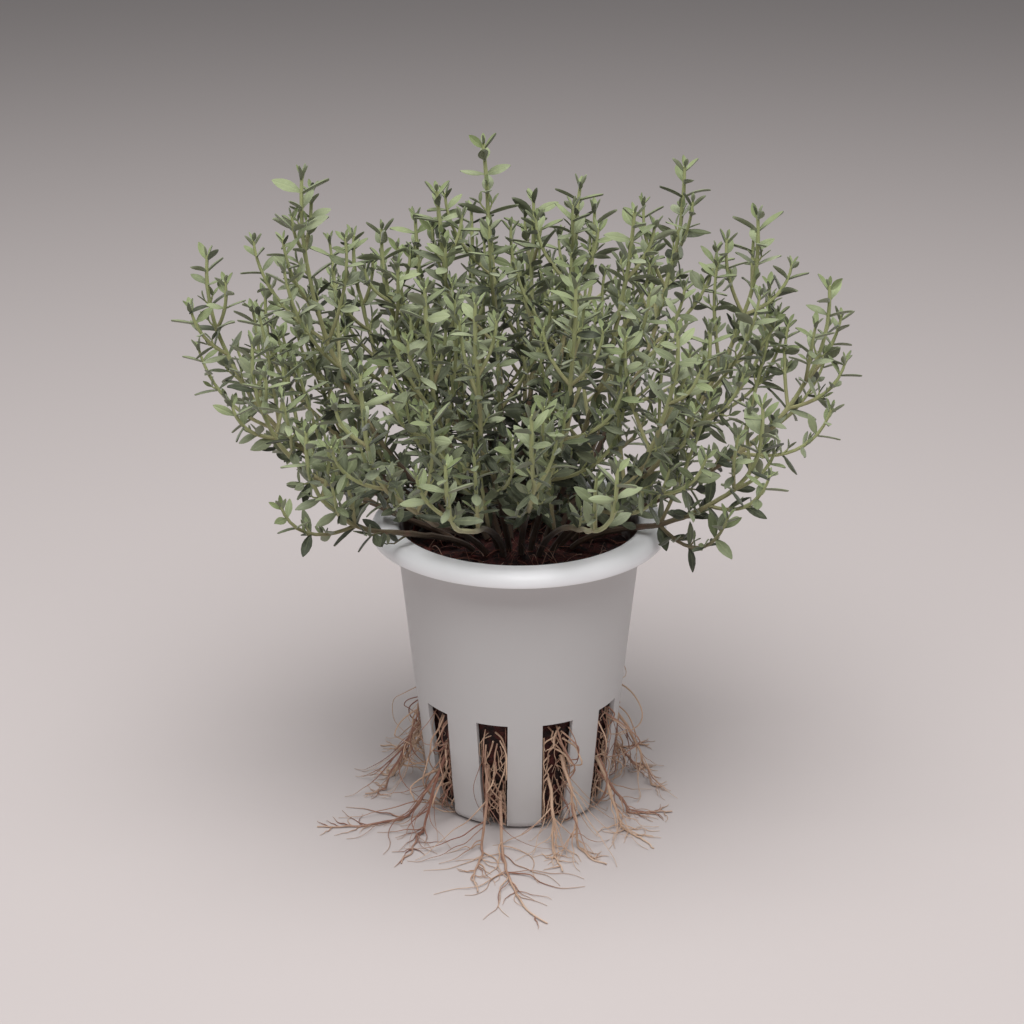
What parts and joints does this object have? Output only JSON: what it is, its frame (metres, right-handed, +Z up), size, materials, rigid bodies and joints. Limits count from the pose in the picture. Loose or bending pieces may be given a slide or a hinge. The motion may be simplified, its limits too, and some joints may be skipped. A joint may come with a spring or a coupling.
{
  "type": "potted thyme",
  "caption": "Bushy young thyme plant with its coir plug and bare roots, standing in a tapered slotted net pot with a wide rim.",
  "frame": {"origin": "middle of the pot's flat underside, on the surface it stands on", "axes": "+Z up through the pot's mouth, -Y towards the front of the plant, +X to the right seen from the front"},
  "size_m": [0.13, 0.1082, 0.1373],
  "materials": {
    "pot_plastic": "satin white injection-moulded polypropylene",
    "coir": "damp dark coconut fibre plug",
    "husk": "red-brown coconut husk chips",
    "thyme_foliage": "matt grey-green leaves on olive to brown stems",
    "root_fibre": "fine tan roots"
  },
  "bodies": {
    "root": {"coir_plug": "coir", "husk_chip_1": "husk", "husk_chip_2": "husk", "husk_chip_3": "husk", "husk_chip_4": "husk", "net_pot": "pot_plastic", "root_01": "root_fibre", "root_02": "root_fibre", "root_03": "root_fibre", "root_04": "root_fibre", "root_05": "root_fibre", "root_06": "root_fibre", "root_07": "root_fibre", "root_08": "root_fibre", "root_09": "root_fibre", "root_10": "root_fibre", "root_11": "root_fibre", "root_12": "root_fibre", "root_13": "root_fibre", "root_14": "root_fibre", "root_15": "root_fibre", "root_16": "root_fibre", "root_17": "root_fibre", "root_18": "root_fibre", "thyme_sprig_01": "thyme_foliage", "thyme_sprig_02": "thyme_foliage", "thyme_sprig_03": "thyme_foliage", "thyme_sprig_04": "thyme_foliage", "thyme_sprig_05": "thyme_foliage", "thyme_sprig_06": "thyme_foliage", "thyme_sprig_07": "thyme_foliage", "thyme_sprig_08": "thyme_foliage", "thyme_sprig_09": "thyme_foliage", "thyme_sprig_10": "thyme_foliage", "thyme_sprig_11": "thyme_foliage", "thyme_sprig_12": "thyme_foliage", "thyme_sprig_13": "thyme_foliage", "thyme_sprig_14": "thyme_foliage", "thyme_sprig_15": "thyme_foliage", "thyme_sprig_16": "thyme_foliage", "thyme_sprig_17": "thyme_foliage", "thyme_sprig_18": "thyme_foliage", "thyme_sprig_19": "thyme_foliage", "thyme_sprig_20": "thyme_foliage", "thyme_sprig_21": "thyme_foliage", "thyme_sprig_22": "thyme_foliage", "thyme_sprig_23": "thyme_foliage", "thyme_sprig_24": "thyme_foliage", "thyme_sprig_25": "thyme_foliage", "thyme_sprig_26": "thyme_foliage", "thyme_sprig_27": "thyme_foliage", "thyme_sprig_28": "thyme_foliage", "thyme_sprig_29": "thyme_foliage", "thyme_sprig_30": "thyme_foliage", "thyme_sprig_31": "thyme_foliage", "thyme_sprig_32": "thyme_foliage", "thyme_sprig_33": "thyme_foliage"}
  },
  "joints": []
}
